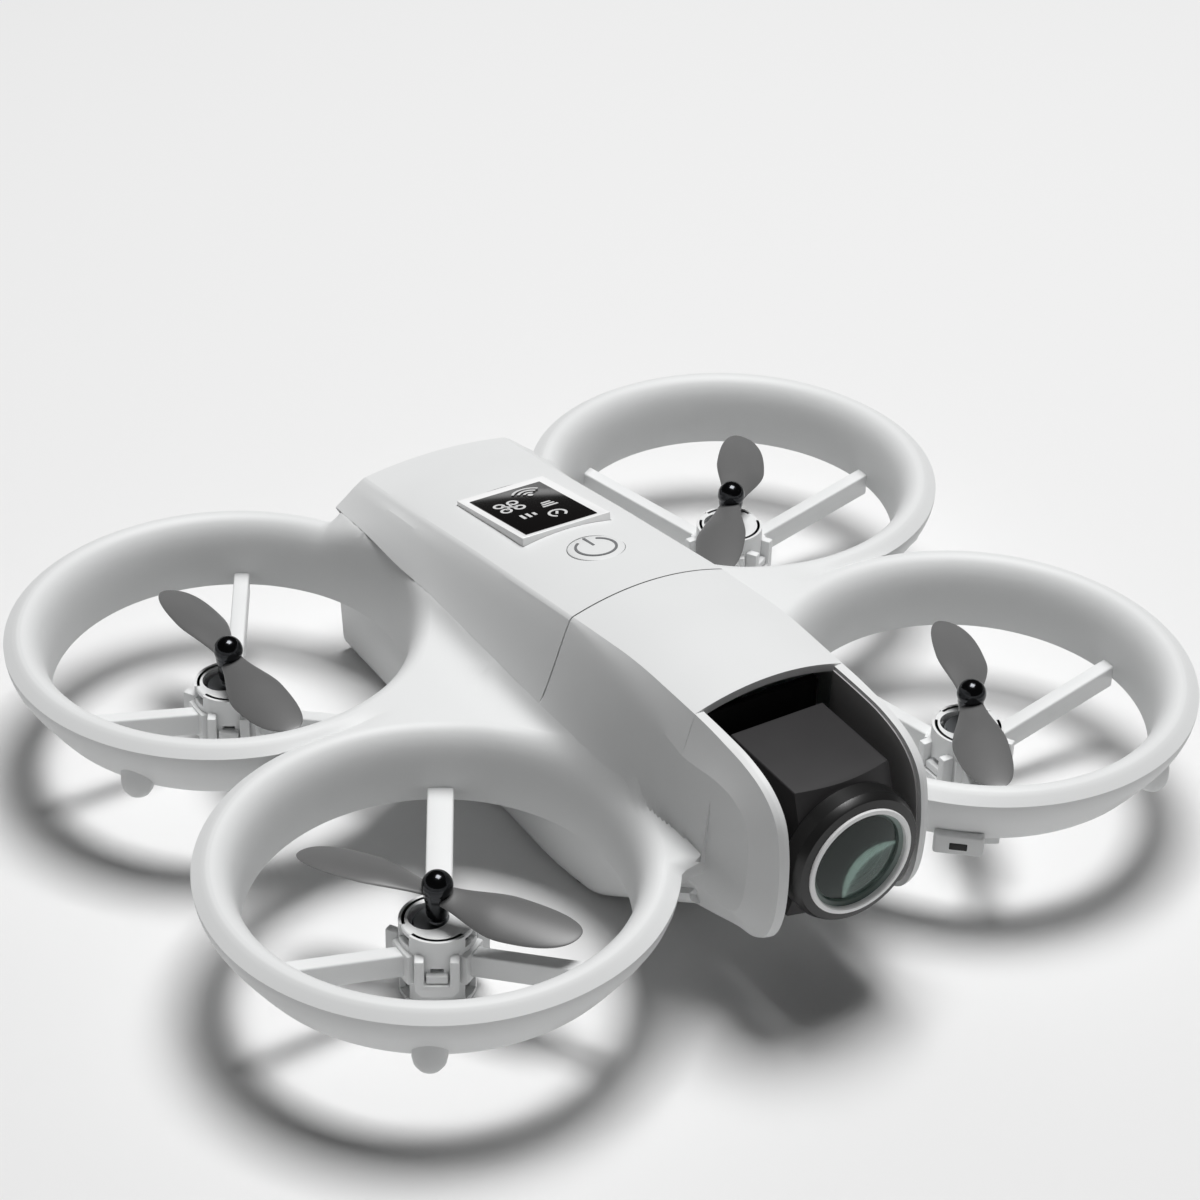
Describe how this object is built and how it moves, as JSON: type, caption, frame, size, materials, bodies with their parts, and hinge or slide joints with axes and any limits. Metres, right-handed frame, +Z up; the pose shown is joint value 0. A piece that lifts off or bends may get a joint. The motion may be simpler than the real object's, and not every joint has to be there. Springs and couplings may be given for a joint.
{
  "type": "mini palm drone",
  "caption": "Small indoor quadcopter with ducted rotors, a wedge-shaped body, a tilting nose camera, a status display and a slide-out battery module.",
  "frame": {"origin": "under the middle of the drone, in the plane its flat belly rests on", "axes": "+Z up along the rotor axes, front and camera towards -Y, +X to the right seen from behind"},
  "size_m": [0.1568, 0.1318, 0.0438],
  "materials": {
    "shell_plastic": "fine-textured moulded ABS, light grey",
    "white_trim": "smooth white moulded trim",
    "dark_plastic": "charcoal moulded ABS",
    "blade_plastic": "grey moulded polypropylene",
    "black_gloss": "polished black",
    "motor_metal": "drawn steel can",
    "fastener_steel": "steel",
    "circuit_board": "green solder mask",
    "battery_wrap": "heat-shrink sleeve",
    "lens_glass": "coated optical glass"
  },
  "bodies": {
    "airframe": {"duct_ring_fl": "shell_plastic", "motor_cage_fl": "shell_plastic", "motor_can_fl": "motor_metal", "duct_ring_fr": "shell_plastic", "motor_cage_fr": "shell_plastic", "motor_can_fr": "motor_metal", "duct_ring_rl": "shell_plastic", "motor_cage_rl": "shell_plastic", "motor_can_rl": "motor_metal", "duct_ring_rr": "shell_plastic", "motor_cage_rr": "shell_plastic", "motor_can_rr": "motor_metal", "lower_shell": "shell_plastic", "rear_cover": "shell_plastic", "front_cover": "shell_plastic", "display_bezel": "white_trim", "display_screen": "black_gloss", "display_module": "circuit_board", "button_switch": "dark_plastic", "camera_bracket": "dark_plastic", "battery_connector": "dark_plastic", "main_board": "circuit_board", "belly_sensor_window": "black_gloss", "flow_sensor": "dark_plastic", "belly_screw_1": "fastener_steel", "belly_screw_2": "fastener_steel", "belly_screw_3": "fastener_steel", "belly_screw_4": "fastener_steel"},
    "rotor_fl": {"motor_shaft_fl": "motor_metal", "propeller_fl": "blade_plastic", "spinner_cap_fl": "black_gloss"},
    "rotor_fr": {"motor_shaft_fr": "motor_metal", "propeller_fr": "blade_plastic", "spinner_cap_fr": "black_gloss"},
    "rotor_rl": {"motor_shaft_rl": "motor_metal", "propeller_rl": "blade_plastic", "spinner_cap_rl": "black_gloss"},
    "rotor_rr": {"motor_shaft_rr": "motor_metal", "propeller_rr": "blade_plastic", "spinner_cap_rr": "black_gloss"},
    "camera_head": {"camera_housing": "dark_plastic", "lens_barrel": "dark_plastic", "lens_trim_ring": "white_trim", "lens_glass": "lens_glass", "lens_inner_barrel": "dark_plastic", "tilt_pin_left": "fastener_steel", "tilt_pin_right": "fastener_steel"},
    "button": {"power_button": "shell_plastic"},
    "battery_module": {"battery_pack": "battery_wrap", "battery_end_cap": "shell_plastic", "usb_port": "fastener_steel"}
  },
  "joints": [
    {"name": "rotor_fl_spin", "type": "hinge", "parent": "airframe", "child": "rotor_fl", "pos_m": [-0.04536, -0.03162, 0.0165], "axis": [0, 0, 1], "continuous": true},
    {"name": "rotor_fr_spin", "type": "hinge", "parent": "airframe", "child": "rotor_fr", "pos_m": [0.04536, -0.03162, 0.0165], "axis": [0, 0, 1], "continuous": true},
    {"name": "rotor_rl_spin", "type": "hinge", "parent": "airframe", "child": "rotor_rl", "pos_m": [-0.04536, 0.03294, 0.0165], "axis": [0, 0, 1], "continuous": true},
    {"name": "rotor_rr_spin", "type": "hinge", "parent": "airframe", "child": "rotor_rr", "pos_m": [0.04536, 0.03294, 0.0165], "axis": [0, 0, 1], "continuous": true},
    {"name": "camera_tilt", "type": "hinge", "parent": "airframe", "child": "camera_head", "pos_m": [0, -0.05334, 0.028], "axis": [1, 0, 0], "range_deg": [-20, 60]},
    {"name": "power_button_press", "type": "slide", "parent": "airframe", "child": "button", "axis": [0, -0.1593, -0.9872], "range_m": [0, 0.0004], "stiffness_N_per_m": 150},
    {"name": "battery_slide", "type": "slide", "parent": "airframe", "child": "battery_module", "axis": [0, 1, 0], "range_m": [0, 0.055]}
  ]
}
